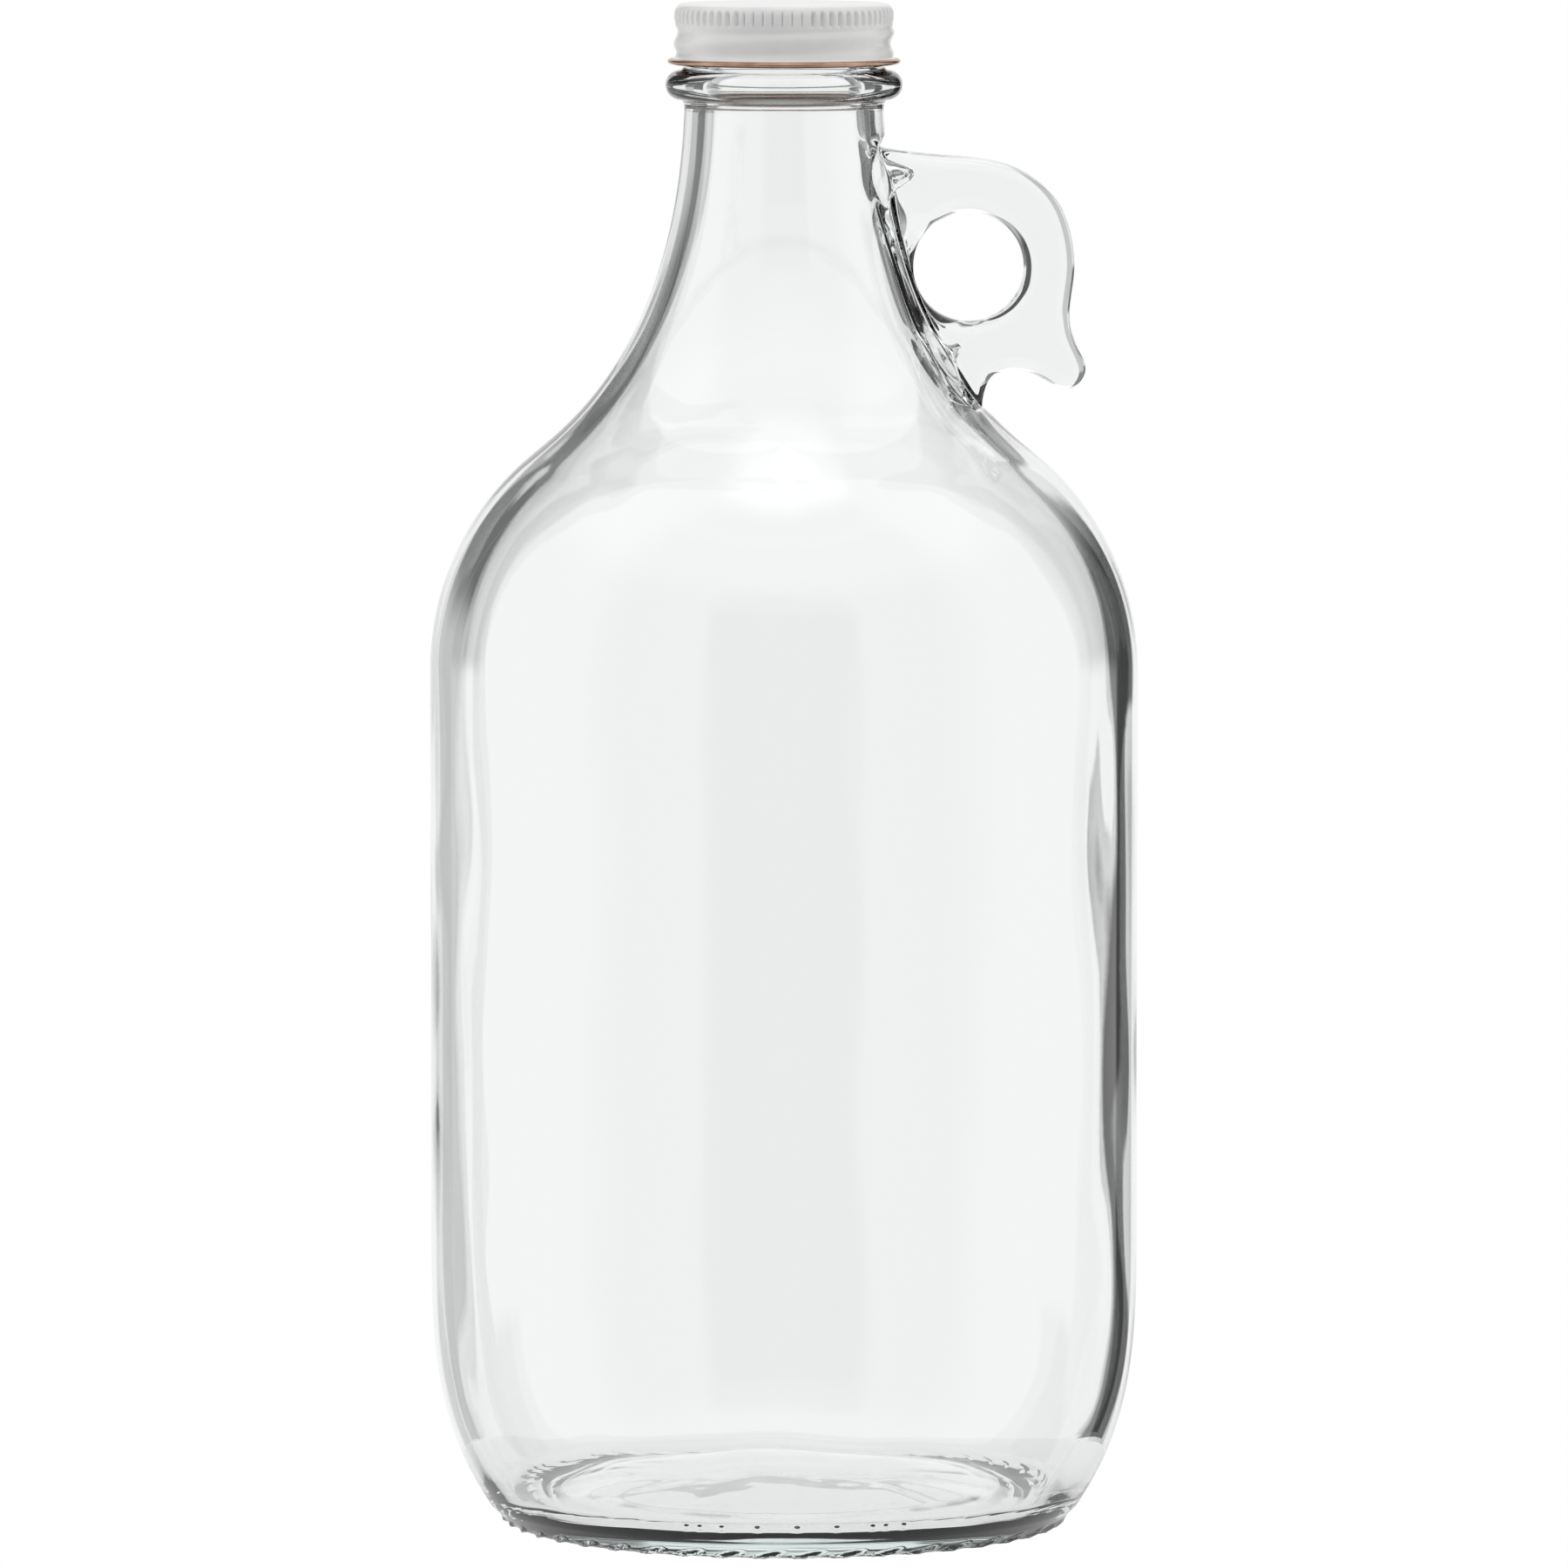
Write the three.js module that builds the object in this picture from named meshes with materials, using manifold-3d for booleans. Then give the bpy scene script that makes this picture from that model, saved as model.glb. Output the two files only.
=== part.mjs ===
// Half-gallon clear glass jug with a finger ring on its neck and a 38 mm metal screw cap.
// Millimetres, +Z up. The origin is on the jug's axis, on the surface that it stands on.
// The finger ring points along +X.

import * as THREE from 'three';
import { mergeVertices } from 'three/addons/utils/BufferGeometryUtils.js';
import Module from 'manifold-3d';

const wasm = await Module();
wasm.setup();

// ---------------------------------------------------------------- driving dimensions

// jug body
const lipHeight = 267.2;          // standing surface to the rim of the mouth
const bodyRadius = 62.45;
const wall = 3.2;                 // glass thickness of body and shoulder
const straightBottom = 48.8;      // the body is a plain cylinder from here
const straightTop = 151.25;       // to here
const shoulderRadius = 49.3;      // radius of the round shoulder, in section
const shoulderSweep = 47;         // degrees that the shoulder turns before the neck's sweep

// base
const baseInset = 10.15;          // the base plate's corner is this much inside the body
const baseCornerHeight = 3.5;
const bearingInset = 14.2;        // outer edge of the ring that the jug stands on
const bearingWidth = 3.8;
const pushUp = 5.2;               // height of the hollow under the base
const baseThickness = 5.4;
const innerCornerInset = 18;      // where the inner floor starts to turn up, from the body

// neck
const neckRadius = 17.56;         // under the transfer bead
const neckLean = 1.8;             // how far the neck opens out downwards, as its sweep starts
const neckPull = 0.72;            // share of the neck's height over which it narrows slowly
const neckWall = 3.3;

// screw finish
const boreRadius = 13.6;
const finishRadius = 17.3;        // root of the thread
const finishHeight = 10.1;        // rim to the top of the transfer bead
const beadHeight = 5.2;
const beadReach = 3.56;           // the transfer bead stands this far out of the finish
const lipRound = 1.0;
const threadPitch = 25.4 / 6;
const threadHeight = 1.15;        // the glass thread stands this much proud of its root
const threadDrop = 2.7;           // rim to the middle of the thread's upper end
const threadFoot = 2.53;          // transfer bead to the middle of its lower end

// finger ring
const holeRadius = 9.66;
const holeDrop = 44.65;           // rim to the middle of the finger hole
const holeWeb = 0.92;             // glass between the hole and the neck's outside
const ringWidth = 9.5;            // hole to the ring's outer edge
const ringThickness = 10.6;
const ringRound = 2.6;            // rounding of the ring's rims
const tailReach = 20.8;           // hole's middle to the tip of the tail, outwards
const tailDrop = 18.1;            // and downwards
const tailRound = 3.4;            // radius of the tail's round end

// screw cap
const capWall = 0.35;
const threadClearance = 0.3;      // glass thread to the inside of the cap's skirt
const capCorner = 1.2;
const knurlCount = 70;
const knurlDepth = 0.4;
const knurlBand = 2.6;            // height of the knurled band
const knurlDrop = 1.6;            // cap's top to the top of that band
const curlRadius = 0.95;
const curlGap = 0.65;             // rolled hem to the transfer bead below it
const capThreadRadius = 0.75;     // section of the ridge inside the skirt
const capThreadStart = 0.15;      // turns past the lower end of the glass thread
const capThreadOffset = 1.75;     // how far the cap's ridge runs below the glass thread

// liner
const facingThickness = 0.2;
const boardThickness = 0.95;
const sealGap = 0.05;             // rim to facing, and board to the cap's top
const linerClearance = 0.1;       // liner's edge to the round corner inside the cap

// fineness
const jugSegments = 48;
const capSegments = 56;
const discSegments = 40;
const threadStepsPerTurn = 26;
const threadFadeTurns = 0.09;

// ---------------------------------------------------------------- geometry helpers

const degrees = Math.PI / 180;
const point = (x, y) => new THREE.Vector2(x, y);

function arc(centre, radius, startDegrees, endDegrees, steps) {
  const points = [];
  for (let i = 0; i <= steps; i += 1) {
    const angle = (startDegrees + (endDegrees - startDegrees) * i / steps) * degrees;
    points.push(point(centre.x + radius * Math.cos(angle), centre.y + radius * Math.sin(angle)));
  }
  return points;
}

function sweep(start, startPull, endPull, end, steps) {
  return new THREE.CubicBezierCurve(start, startPull, endPull, end).getPoints(steps);
}

// Turns an outline of (radius, height) points round the Z axis.
function turned(outline, segments) {
  return new THREE.LatheGeometry(outline, segments).rotateX(Math.PI / 2);
}

function solidOf(geometry) {
  const bare = geometry.clone();
  bare.deleteAttribute('normal');
  bare.deleteAttribute('uv');
  const merged = mergeVertices(bare, 1e-5);
  const corners = merged.index.array;
  const triangles = [];
  for (let i = 0; i < corners.length; i += 3) {
    const [a, b, c] = [corners[i], corners[i + 1], corners[i + 2]];
    if (a !== b && b !== c && c !== a) triangles.push(a, b, c);
  }
  return new wasm.Manifold(new wasm.Mesh({
    numProp: 3,
    vertProperties: new Float32Array(merged.attributes.position.array),
    triVerts: new Uint32Array(triangles),
  }));
}

function geometryOf(solid) {
  const mesh = solid.getMesh();
  const geometry = new THREE.BufferGeometry();
  geometry.setAttribute('position', new THREE.BufferAttribute(mesh.vertProperties, 3));
  geometry.setIndex(new THREE.BufferAttribute(mesh.triVerts, 1));
  geometry.computeVertexNormals();
  return geometry;
}

// A right-hand thread on the Z axis, between two places given in turns from +X, where it is at
// baseHeight. Its ends sink by fade into the wall that it stands on.
class ThreadPath extends THREE.Curve {
  constructor({ radius, baseHeight, firstTurn, lastTurn, fade }) {
    super();
    Object.assign(this, { radius, baseHeight, firstTurn, lastTurn, fade });
  }

  getPoint(t, target = new THREE.Vector3()) {
    const turn = this.firstTurn + (this.lastTurn - this.firstTurn) * t;
    const toEnd = Math.min(turn - this.firstTurn, this.lastTurn - turn);
    const sink = this.fade * Math.max(0, 1 - toEnd / threadFadeTurns) ** 2;
    const angle = turn * 2 * Math.PI;
    const radius = this.radius - sink;
    const height = this.baseHeight + turn * threadPitch;
    return target.set(radius * Math.cos(angle), radius * Math.sin(angle), height);
  }
}

function threadRidge(path, sectionRadius) {
  const section = new THREE.Shape(arc(point(0, 0), sectionRadius, 0, 315, 7));
  const steps = Math.round((path.lastTurn - path.firstTurn) * threadStepsPerTurn);
  return solidOf(new THREE.ExtrudeGeometry(section, {
    extrudePath: path, steps, bevelEnabled: false,
  }));
}

// ---------------------------------------------------------------- glass jug

const beadTop = lipHeight - finishHeight;
const beadBottom = beadTop - beadHeight;
const neckTop = beadBottom - 2.1;
const threadBase = beadTop + threadFoot;
const threadTurns = (finishHeight - threadDrop - threadFoot) / threadPitch;
const shoulderHeight = shoulderRadius * Math.sin(shoulderSweep * degrees);
const neckSweep = neckPull * (neckTop - straightTop - shoulderHeight);

// Outside of the jug, from the edge of the standing ring up to the transfer bead.
function outerWall() {
  const bearingEdge = point(bodyRadius - bearingInset, 0);
  const baseCorner = point(bodyRadius - baseInset, baseCornerHeight);
  const heelSpan = straightBottom - baseCornerHeight;
  const heel = sweep(
    baseCorner,
    point(bodyRadius - 0.04 * baseInset, baseCornerHeight + 0.373 * heelSpan),
    point(bodyRadius, straightBottom - 0.345 * heelSpan),
    point(bodyRadius, straightBottom),
    5,
  );
  const shoulderCentre = point(bodyRadius - shoulderRadius, straightTop);
  const shoulder = arc(shoulderCentre, shoulderRadius, 0, shoulderSweep, 6);
  const shoulderEnd = shoulder.at(-1);
  const lean = shoulderSweep * degrees;
  const neck = sweep(
    shoulderEnd,
    point(shoulderEnd.x - 7.8 * Math.sin(lean), shoulderEnd.y + 7.8 * Math.cos(lean)),
    point(neckRadius + neckLean, neckTop - neckSweep),
    point(neckRadius, neckTop),
    8,
  );
  return [bearingEdge, point(bearingEdge.x + 0.9, 0.45), ...heel, ...shoulder, ...neck.slice(1)];
}

// Transfer bead, screw finish and rim, from the neck up.
function finishOutline() {
  const beadMiddle = (beadTop + beadBottom) / 2;
  const beadRound = beadHeight / 2;
  const beadRadius = finishRadius + beadReach;
  const bead = arc(point(beadRadius - beadRound, beadMiddle), beadRound, -80, 80, 6);
  const lip = arc(point(finishRadius - lipRound, lipHeight - lipRound), lipRound, 0, 90, 3);
  return [point(neckRadius, beadBottom - 0.4), ...bead, point(finishRadius, beadTop), ...lip];
}

// The inside, from the rim down to the middle of the floor.
function innerWall() {
  const innerRadius = bodyRadius - wall;
  const innerShoulder = shoulderRadius - wall;
  const shoulderCentre = point(bodyRadius - shoulderRadius, straightTop);
  const shoulder = arc(shoulderCentre, innerShoulder, shoulderSweep, 0, 5);
  const shoulderStart = shoulder[0];
  const lean = shoulderSweep * degrees;
  const neck = sweep(
    point(neckRadius - neckWall, neckTop),
    point(neckRadius - neckWall + neckLean, neckTop - neckSweep),
    point(shoulderStart.x - 7.8 * Math.sin(lean), shoulderStart.y + 7.8 * Math.cos(lean)),
    shoulderStart,
    7,
  );
  const floorCorner = point(bodyRadius - innerCornerInset, baseThickness + 1.4);
  const heel = sweep(
    point(innerRadius, straightBottom),
    point(innerRadius, straightBottom * 0.7),
    point(innerRadius - 1.5, baseThickness + 5),
    floorCorner,
    6,
  );
  const floorMiddle = point(0, pushUp + baseThickness);
  const floorRing = point(floorCorner.x / 2, (floorCorner.y + 3 * floorMiddle.y) / 4);
  return [
    point(boreRadius + lipRound, lipHeight),
    point(boreRadius, lipHeight - lipRound),
    point(boreRadius, beadTop),
    ...neck,
    ...shoulder.slice(1),
    ...heel,
    floorRing,
    floorMiddle,
  ];
}

// The hollow under the base, from its middle out to the ring that the jug stands on.
function underside() {
  const bearingInner = bodyRadius - bearingInset - bearingWidth;
  return [
    point(0, pushUp),
    point(bearingInner * 0.5, pushUp * 0.8),
    point(bearingInner * 0.86, pushUp * 0.3),
    point(bearingInner, 0),
  ];
}

function radiusAt(outline, height) {
  for (let i = 1; i < outline.length; i += 1) {
    const [low, high] = [outline[i - 1], outline[i]];
    if (height >= low.y && height <= high.y && high.y > low.y) {
      return low.x + (high.x - low.x) * (height - low.y) / (high.y - low.y);
    }
  }
  return outline.at(-1).x;
}

// Finger ring and its tail, cut from one thick plate that runs into the neck and shoulder.
function fingerRing(outside) {
  const holeHeight = lipHeight - holeDrop;
  const hole = point(radiusAt(outside, holeHeight) + holeWeb + holeRadius, holeHeight);
  const ringRadius = holeRadius + ringWidth;
  const tail = point(hole.x + tailReach - tailRound, hole.y - tailDrop);
  const rootHeight = hole.y - 1.27 * ringRadius;
  const shape = new THREE.Shape();
  shape.moveTo(neckRadius - 1, hole.y + 1.06 * ringRadius);
  shape.lineTo(neckRadius + 2.2, hole.y + 1.05 * ringRadius);
  shape.quadraticCurveTo(hole.x - 4, hole.y + 1.03 * ringRadius, hole.x, hole.y + ringRadius);
  shape.absarc(hole.x, hole.y, ringRadius, 88 * degrees, 2 * degrees, true);
  shape.quadraticCurveTo(
    hole.x + ringRadius - 1.9, hole.y - 8.5,
    tail.x + tailRound * 0.95, tail.y + tailRound * 0.4,
  );
  shape.absarc(tail.x, tail.y, tailRound, 15 * degrees, -110 * degrees, true);
  shape.bezierCurveTo(
    tail.x - 3.4, tail.y - 3.2,
    tail.x - 5.2, tail.y - 0.6,
    hole.x + 7, hole.y - 18.3,
  );
  shape.quadraticCurveTo(hole.x + 2.6, hole.y - 18.3, hole.x + 2.2, rootHeight);
  shape.lineTo(neckRadius - 1, rootHeight);
  const opening = new THREE.Path();
  opening.absarc(hole.x, hole.y, holeRadius - ringRound * 0.45, 0, 2 * Math.PI, false);
  shape.holes.push(opening);
  const plate = new THREE.ExtrudeGeometry(shape, {
    depth: ringThickness - 2 * ringRound * 0.55,
    curveSegments: 9,
    bevelEnabled: true,
    bevelThickness: ringRound * 0.55,
    bevelSize: ringRound * 0.45,
    bevelOffset: -ringRound * 0.45,
    bevelSegments: 2,
  });
  plate.translate(0, 0, -(ringThickness - 2 * ringRound * 0.55) / 2);
  return plate.rotateX(Math.PI / 2);
}

function makeJug() {
  const outside = [...outerWall(), ...finishOutline()];
  const inside = innerWall();
  const filled = [...underside(), ...outside, point(0, lipHeight)];
  const hollow = [point(0, lipHeight + 5), point(boreRadius + lipRound, lipHeight + 5), ...inside];
  const thread = new ThreadPath({
    radius: finishRadius,
    baseHeight: threadBase,
    firstTurn: 0,
    lastTurn: threadTurns,
    fade: threadHeight,
  });
  const body = solidOf(turned(filled, jugSegments))
    .add(solidOf(fingerRing(outside)))
    .add(threadRidge(thread, threadHeight));
  return geometryOf(body.subtract(solidOf(turned(hollow.reverse(), jugSegments))));
}

// ---------------------------------------------------------------- screw cap and liner

const skirtInside = finishRadius + threadHeight + threadClearance;
const skirtOutside = skirtInside + capWall;
const capTop = lipHeight + 2 * sealGap + facingThickness + boardThickness + capWall;

function makeCap() {
  const curlHeight = beadTop + curlGap + curlRadius;
  const curlMiddle = point(skirtInside + curlRadius - 0.15, curlHeight);
  const knurlOutside = skirtOutside + 0.3;
  const bandTop = capTop - knurlDrop;
  const bandBottom = bandTop - knurlBand;
  const outline = [
    point(0, capTop - capWall),
    point(skirtInside - capCorner + capWall, capTop - capWall),
    point(skirtInside, capTop - capCorner),
    ...arc(curlMiddle, curlRadius, 171, 475, 9),
    point(skirtOutside, bandBottom - 0.4),
    point(knurlOutside, bandBottom),
    point(knurlOutside, bandTop),
    point(skirtOutside, bandTop + 0.4),
    ...arc(point(skirtOutside - capCorner, capTop - capCorner), capCorner, 0, 90, 3).slice(1),
    point(0, capTop),
  ];
  const flutes = [];
  for (let i = 0; i < 2 * knurlCount; i += 1) {
    const angle = i / knurlCount * Math.PI;
    const radius = i % 2 ? knurlOutside - knurlDepth : knurlOutside + 0.02;
    flutes.push(point(radius * Math.cos(angle), radius * Math.sin(angle)));
  }
  const around = new THREE.Shape().absarc(0, 0, knurlOutside + 1, 0, 2 * Math.PI, false);
  around.holes.push(new THREE.Path(flutes));
  const comb = new THREE.ExtrudeGeometry(around, {
    depth: knurlBand, curveSegments: 12, bevelEnabled: false,
  }).translate(0, 0, bandBottom);
  const thread = new ThreadPath({
    radius: skirtInside,
    baseHeight: threadBase - capThreadOffset,
    firstTurn: capThreadStart,
    lastTurn: threadTurns - 0.05,
    fade: -0.5 * capWall,
  });
  const shell = solidOf(turned(outline, capSegments)).subtract(solidOf(comb));
  return geometryOf(shell.add(threadRidge(thread, capThreadRadius)));
}

function makeDisc(bottom, thickness) {
  const radius = skirtInside - (capCorner - capWall) - linerClearance;
  const outline = [
    point(0, bottom),
    point(radius, bottom),
    point(radius, bottom + thickness),
    point(0, bottom + thickness),
  ];
  return turned(outline, discSegments);
}

// ---------------------------------------------------------------- assembly

function piece(name, geometry, colour, roughness, metalness, extra = {}) {
  const material = new THREE.MeshStandardMaterial({ color: colour, roughness, metalness, ...extra });
  const mesh = new THREE.Mesh(geometry, material);
  mesh.name = name;
  return mesh;
}

const facingBottom = lipHeight + sealGap;
const boardBottom = facingBottom + facingThickness;

const jug = new THREE.Group();
jug.add(piece('glass_jug', makeJug(), 0xe6eeee, 0.05, 0, { transparent: true, opacity: 0.4 }));
jug.add(piece('liner_facing', makeDisc(facingBottom, facingThickness), 0xf3f3ee, 0.3, 0));
jug.add(piece('liner_board', makeDisc(boardBottom, boardThickness), 0xd9cdb4, 0.9, 0));
jug.add(piece('cap_shell', makeCap(), 0xf2f2f0, 0.25, 0.1));

export default jug;
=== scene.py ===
# %% [markdown]
# # A half-gallon glass jug with a screw cap
#
# The jug is one piece of clear soda-lime glass: body, shoulder, neck, screw finish and finger ring
# are blown and pressed together in one mould. Glass is the hardest thing to make look right,
# because everything seen is the surroundings, bent by two skins: the outside, which copies the
# mould exactly, and the inside, which was shaped by air and is never quite even. So both skins are
# real mesh here, with a wall of glass between them. The cap is thin tinplate, enamelled white
# outside and lacquered gold inside, with a pulp-board liner.

# %% Load the frame
import bisect
import math

import bmesh
import bpy
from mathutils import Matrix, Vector, noise


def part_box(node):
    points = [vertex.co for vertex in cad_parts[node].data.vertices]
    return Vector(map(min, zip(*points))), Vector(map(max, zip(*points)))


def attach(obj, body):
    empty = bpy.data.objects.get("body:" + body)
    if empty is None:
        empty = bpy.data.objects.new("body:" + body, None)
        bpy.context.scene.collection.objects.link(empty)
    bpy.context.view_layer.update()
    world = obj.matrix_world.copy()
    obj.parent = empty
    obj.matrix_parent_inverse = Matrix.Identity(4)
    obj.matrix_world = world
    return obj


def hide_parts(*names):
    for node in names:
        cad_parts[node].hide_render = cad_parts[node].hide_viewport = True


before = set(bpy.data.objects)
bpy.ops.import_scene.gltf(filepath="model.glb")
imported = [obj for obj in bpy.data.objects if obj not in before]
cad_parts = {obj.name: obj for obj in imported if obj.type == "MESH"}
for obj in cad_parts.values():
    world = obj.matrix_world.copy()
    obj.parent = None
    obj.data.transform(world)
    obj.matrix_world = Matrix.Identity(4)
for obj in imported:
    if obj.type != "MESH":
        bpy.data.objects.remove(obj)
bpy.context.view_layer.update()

print("frame nodes:", sorted(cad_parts))

# %% [markdown]
# Sizes are in millimetres, as a mould maker would write them, and each finished mesh is scaled to
# metres at the very end. The overall sizes are read from the frame, so the pieces fit it exactly.

# %% Overall sizes from the frame
METRES_PER_MM = 0.001


def node_box_mm(name):
    """The lowest and highest corners of a frame node."""
    low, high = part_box(name)
    return [value / METRES_PER_MM for value in low], [value / METRES_PER_MM for value in high]


body_radius, _, lip_height = node_box_mm("glass_jug")[1]
cap_top = node_box_mm("cap_shell")[1][2]
print(f"body radius {body_radius:.2f}, rim {lip_height:.2f}, cap top {cap_top:.2f} mm")

# %% [markdown]
# ## Outlines
#
# Everything but the finger ring is turned round one axis, so one outline of (radius, height)
# points makes it. The Screw modifier would turn such an outline too, but then every later detail
# would have to be cut into a dense mesh. Here the cage that is spun has few rows, and its
# subdivision surface has many. An Outline keeps the finely drawn curve and says where on it each
# row is, as a distance along the curve. The subdivided vertices carry that distance as an
# attribute, so they can be put back on the true curve afterwards, and the subdivision neither
# shrinks nor blurs any bead, corner or rim.


# %% Outline tools
def arc(centre, radius, start, end, count=40):
    """Points round centre from start to end, in degrees."""
    angles = [math.radians(start + (end - start) * i / count) for i in range(count + 1)]
    return [(centre[0] + radius * math.cos(a), centre[1] + radius * math.sin(a)) for a in angles]


def sweep(start, start_pull, end_pull, end, count=120):
    """A cubic Bezier curve."""
    points = []
    for i in range(count + 1):
        t = i / count
        weights = ((1 - t) ** 3, 3 * (1 - t) ** 2 * t, 3 * (1 - t) * t * t, t ** 3)
        corners = (start, start_pull, end_pull, end)
        points.append(tuple(sum(w * c[k] for w, c in zip(weights, corners)) for k in (0, 1)))
    return points


class Outline:
    """A curve of (radius, height) points, the rows of its cage, and the place of each stretch."""

    def __init__(self):
        self.points = []
        self.places = []
        self.rows = []
        self.marks = {}

    def add(self, name, points, rows):
        """Adds a stretch of curve. rows is how many cage rows it gets, or the heights of them."""
        if self.points:
            start = self.places[-1]
        else:
            start = 0.0
            self.points.append(points[0])
            self.places.append(0.0)
        for point in points:
            step = math.dist(point, self.points[-1])
            if step > 1e-6:
                self.places.append(self.places[-1] + step)
                self.points.append(point)
        end = self.places[-1]
        self.marks[name] = (start, end)
        if isinstance(rows, int):
            self.rows += [start + (end - start) * k / rows for k in range(rows)]
        else:
            self.rows += [start] + [self.place_of_height(h, start, end) for h in rows]

    def place_of_height(self, height, start, end):
        """The first place after start where the curve is at a height, or else end."""
        for i in range(1, len(self.points)):
            low, high = self.points[i - 1][1], self.points[i][1]
            crossed = low != high and min(low, high) <= height <= max(low, high)
            if crossed and self.places[i] > start:
                part = (height - low) / (high - low)
                return self.places[i - 1] + part * (self.places[i] - self.places[i - 1])
        return end

    def at(self, place):
        """(radius, height) at a distance along the curve."""
        i = min(max(bisect.bisect_left(self.places, place), 1), len(self.places) - 1)
        low, high = self.places[i - 1], self.places[i]
        part = min(max((place - low) / (high - low), 0.0), 1.0)
        a, b = self.points[i - 1], self.points[i]
        return a[0] + (b[0] - a[0]) * part, a[1] + (b[1] - a[1]) * part

    def outward(self, place):
        """The direction square to the curve, away from the solid on its left."""
        a, b = self.at(place - 0.25), self.at(place + 0.25)
        along = Vector((b[0] - a[0], b[1] - a[1])).normalized()
        return along.y, -along.x

    def radius_at_height(self, height, name):
        """The radius of a named stretch at a height."""
        return self.at(self.place_of_height(height, *self.marks[name]))[0]


# %% [markdown]
# ## The jug's outline
#
# It runs from the middle of the underside, out over the ring that the jug stands on, up the
# outside, over the rim, and down the inside to the middle of the floor. The outside is what the
# mould gave. The inside keeps 4.6 mm of glass behind it in the body and 3.6 mm in the neck. How
# thick the wall is decides how wide the dark bands down the sides are, so this is the number to
# change first if they look wrong. Over the middle, the floor runs side by side with the pushed-up
# underside: where two skins of glass aren't parallel, they bend light like a lens.

# %% The jug's outline
WALL = 4.6
NECK_WALL = 3.6
STRAIGHT_BOTTOM = 48.8
STRAIGHT_TOP = 151.25
SHOULDER_RADIUS = 49.3
SHOULDER_SWEEP = 47
BASE_CORNER = (body_radius - 10.15, 3.5)
BEARING_OUT = body_radius - 14.2
BEARING_IN = BEARING_OUT - 3.8
PUSH_UP = 5.2
FLOOR_THICKNESS = 4.4
NECK_RADIUS = 17.56
FINISH_RADIUS = 17.3
BORE_RADIUS = 13.6
FINISH_HEIGHT = 10.1
BEAD_TOP = lip_height - FINISH_HEIGHT
BEAD_HEIGHT = 5.2
BEAD_REACH = 3.56
BEAD_BOTTOM = BEAD_TOP - BEAD_HEIGHT
NECK_TOP = BEAD_BOTTOM - 2.1
NECK_PULL = 7.8
RIM_ROUND = 1.0

# the rows of the neck that the finger ring joins, and the one below them
RING_ROWS = 8
RING_TOP = 244.0
RING_BOTTOM = 197.4
ROW_BELOW_RING = 192.4
ring_heights = [
    RING_BOTTOM + (RING_TOP - RING_BOTTOM) * k / RING_ROWS for k in range(RING_ROWS + 1)
]

shoulder_centre = (body_radius - SHOULDER_RADIUS, STRAIGHT_TOP)
lean = math.radians(SHOULDER_SWEEP)


def neck_curve(radius, shoulder_end, top):
    """From the shoulder up into the neck; the same sweep serves outside and inside."""
    span = NECK_TOP - shoulder_outer[-1][1]
    r, z = shoulder_end
    return sweep(shoulder_end, (r - NECK_PULL * math.sin(lean), z + NECK_PULL * math.cos(lean)),
                 (radius + 1.8, top - 0.72 * span), (radius, top))


shoulder_outer = arc(shoulder_centre, SHOULDER_RADIUS, 0, SHOULDER_SWEEP)
shoulder_inner = arc(shoulder_centre, SHOULDER_RADIUS - WALL, SHOULDER_SWEEP, 0)
bead_round = BEAD_HEIGHT / 2
bead_centre = (FINISH_RADIUS + BEAD_REACH - bead_round, (BEAD_TOP + BEAD_BOTTOM) / 2)
bead = arc(bead_centre, bead_round, -80, 80)
inner_radius = body_radius - WALL
floor_corner = (BASE_CORNER[0] - 3.2, BASE_CORNER[1] + 4.0)

underside = sweep((0, PUSH_UP), (24, PUSH_UP), (39, 2.4), (BEARING_IN, 0.12))
floor_middle = [(r, z + FLOOR_THICKNESS) for r, z in underside if r < 38][::-1]

jug = Outline()
jug.add("underside", underside, 5)
jug.add("bearing", sweep((BEARING_IN, 0.12), (BEARING_IN + 0.4, 0), (BEARING_OUT - 1.5, 0),
                         (BEARING_OUT - 0.6, 0)), 2)
jug.add("corner", sweep((BEARING_OUT - 0.6, 0), (BEARING_OUT + 1.0, 0), (BASE_CORNER[0] - 2.2, 1.5),
                        BASE_CORNER), 3)
jug.add("heel", sweep(BASE_CORNER, (body_radius - 0.6, 18.0), (body_radius, 32.0),
                      (body_radius, STRAIGHT_BOTTOM)), 9)
jug.add("body", [(body_radius, STRAIGHT_BOTTOM), (body_radius, STRAIGHT_TOP)], 8)
jug.add("shoulder", shoulder_outer, 8)
jug.add("neck", neck_curve(NECK_RADIUS, shoulder_outer[-1], NECK_TOP),
        [ROW_BELOW_RING] + ring_heights)
jug.add("under_bead", sweep((NECK_RADIUS, NECK_TOP), (NECK_RADIUS, BEAD_BOTTOM - 0.3),
                            (NECK_RADIUS + 0.3, BEAD_BOTTOM), bead[0]), 2)
jug.add("bead", bead, 5)
rim_start = lip_height - RIM_ROUND
jug.add("finish", sweep(bead[-1], (FINISH_RADIUS + 0.2, BEAD_TOP), (FINISH_RADIUS, BEAD_TOP + 0.2),
                        (FINISH_RADIUS, rim_start)), 8)
rim_outer, rim_inner = FINISH_RADIUS - RIM_ROUND, BORE_RADIUS + RIM_ROUND
jug.add("rim_out", arc((rim_outer, rim_start), RIM_ROUND, 0, 90), 2)
jug.add("rim_top", [(rim_outer, lip_height), (rim_inner, lip_height)], 1)
jug.add("rim_in", arc((rim_inner, rim_start), RIM_ROUND, 90, 180), 2)
jug.add("bore", [(BORE_RADIUS, rim_start), (BORE_RADIUS, BEAD_TOP)], 2)
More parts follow.
